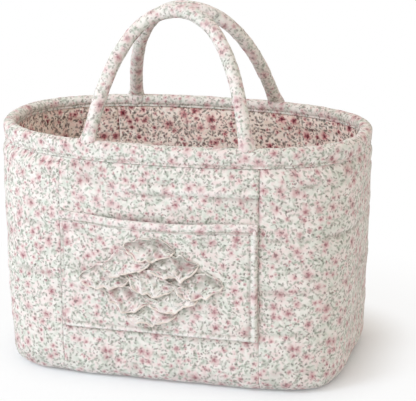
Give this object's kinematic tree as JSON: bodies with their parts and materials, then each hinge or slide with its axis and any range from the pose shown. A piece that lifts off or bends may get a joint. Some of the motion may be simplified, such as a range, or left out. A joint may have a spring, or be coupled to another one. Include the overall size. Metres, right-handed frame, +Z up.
{
  "type": "fabric storage basket",
  "caption": "Quilted fabric storage basket with a stuffed rim, a lined front pocket with a ruffle cluster, and loop handles that fold down outside.",
  "frame": {"origin": "middle of the underside, on the surface that the basket stands on", "axes": "+X along the long side, +Y from the pocket side to the back, +Z up"},
  "size_m": [0.38, 0.2259, 0.3767],
  "materials": {
    "floral_cotton": "woven cotton with a small rose print on off-white, quilted",
    "lining_cotton": "woven cotton with a denser, darker rose print on beige",
    "wadding": "white polyester wadding",
    "filler": "soft cotton filler cord",
    "stiffener": "grey stiffener sheet"
  },
  "bodies": {
    "basket": {"outer_front_panel": "floral_cotton", "outer_right_panel": "floral_cotton", "outer_back_panel": "floral_cotton", "outer_left_panel": "floral_cotton", "outer_base_panel": "floral_cotton", "wadding_front": "wadding", "wadding_right": "wadding", "wadding_back": "wadding", "wadding_left": "wadding", "wadding_base": "wadding", "base_board": "stiffener", "lining_front_panel": "lining_cotton", "lining_right_panel": "lining_cotton", "lining_back_panel": "lining_cotton", "lining_left_panel": "lining_cotton", "lining_base_panel": "lining_cotton", "rim_binding": "floral_cotton", "rim_cord": "filler", "front_handle_tab_left": "floral_cotton", "front_handle_tab_right": "floral_cotton", "back_handle_tab_left": "floral_cotton", "back_handle_tab_right": "floral_cotton", "pocket_panel": "floral_cotton", "pocket_lining": "lining_cotton", "pocket_hem": "floral_cotton", "ruffle_petal_1": "floral_cotton", "ruffle_petal_2": "floral_cotton", "ruffle_petal_3": "floral_cotton", "ruffle_petal_4": "floral_cotton", "ruffle_petal_5": "floral_cotton", "ruffle_petal_6": "floral_cotton", "ruffle_petal_7": "floral_cotton", "ruffle_petal_8": "floral_cotton", "ruffle_petal_9": "floral_cotton"},
    "front_handle": {"front_handle_cover": "floral_cotton", "front_handle_core": "filler"},
    "back_handle": {"back_handle_cover": "floral_cotton", "back_handle_core": "filler"}
  },
  "joints": [
    {"name": "front_handle_fold", "type": "hinge", "parent": "basket", "child": "front_handle", "pos_m": [0, -0.09748, 0.2465], "axis": [1, 0, 0], "range_deg": [0, 175]},
    {"name": "back_handle_fold", "type": "hinge", "parent": "basket", "child": "back_handle", "pos_m": [0, 0.09759, 0.2465], "axis": [-1, 0, 0], "range_deg": [0, 175]}
  ]
}
